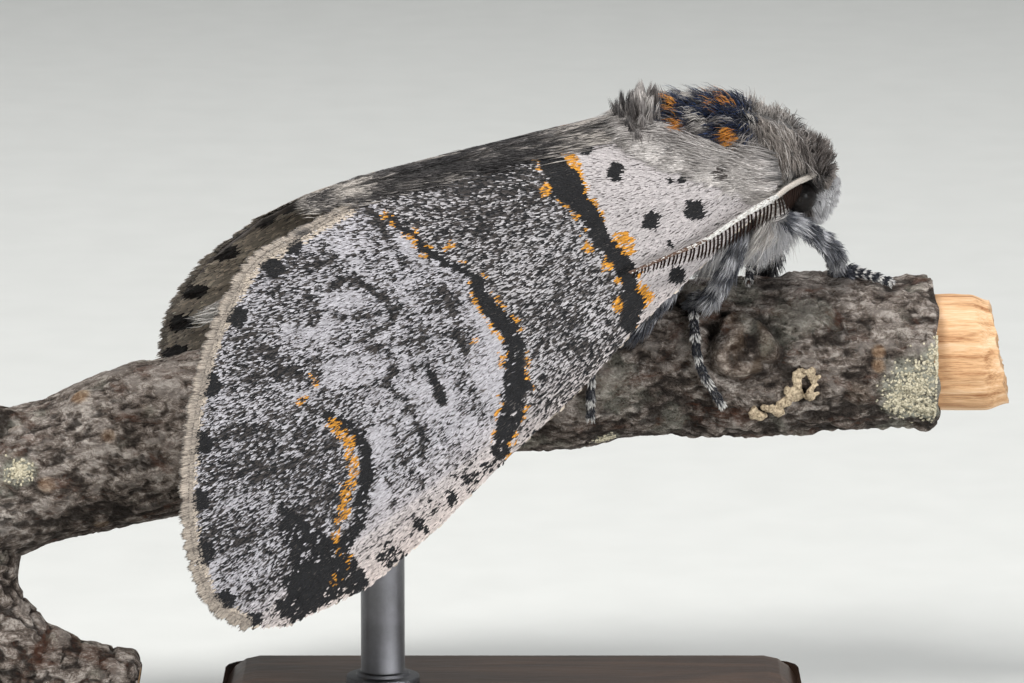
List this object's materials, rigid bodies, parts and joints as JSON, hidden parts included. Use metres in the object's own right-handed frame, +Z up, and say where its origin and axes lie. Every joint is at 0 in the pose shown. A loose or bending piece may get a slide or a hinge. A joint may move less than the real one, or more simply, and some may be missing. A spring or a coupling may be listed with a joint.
{
  "type": "moth model",
  "caption": "Life-size model of a poplar kitten moth at rest with roofed wings on a short cut twig, held on a plain rod and flat base.",
  "frame": {"origin": "centre of the stand base's underside, on the floor", "axes": "+X along the twig towards the moth's head, +Y away from the side that the picture shows, +Z up"},
  "size_m": [0.0363, 0.0158, 0.0233],
  "materials": {
    "thorax_hair": "dense pale grey hair with dark and orange tufts",
    "head_hair": "dense grey hair",
    "eye": "glossy black, finely faceted",
    "feeler": "white scaled shaft with brown comb teeth",
    "abdomen_hair": "grey hair in rings",
    "forewing_scales": "matt scales, white peppered with black, with black and orange bands",
    "hindwing_scales": "matt off-white scales with grey veins",
    "leg_hair": "grey hair, feet banded black and white",
    "bark": "rough grey-brown bark",
    "cut_wood": "pale bare wood with fine grain",
    "stand_wood": "dark stained wood, satin",
    "stand_metal": "dark brushed steel"
  },
  "bodies": {
    "root": {"thorax": "thorax_hair", "head": "head_hair", "eye_right": "eye", "eye_left": "eye", "antenna_right": "feeler", "antenna_left": "feeler", "abdomen": "abdomen_hair", "forewing_right": "forewing_scales", "forewing_left": "forewing_scales", "hindwing_right": "hindwing_scales", "hindwing_left": "hindwing_scales", "foreleg_right": "leg_hair", "foreleg_left": "leg_hair", "midleg_right": "leg_hair", "midleg_left": "leg_hair", "hindleg_right": "leg_hair", "hindleg_left": "leg_hair", "twig": "bark", "twig_fork": "bark", "twig_wood": "cut_wood", "stand_base": "stand_wood", "stand_rod": "stand_metal"}
  },
  "joints": []
}
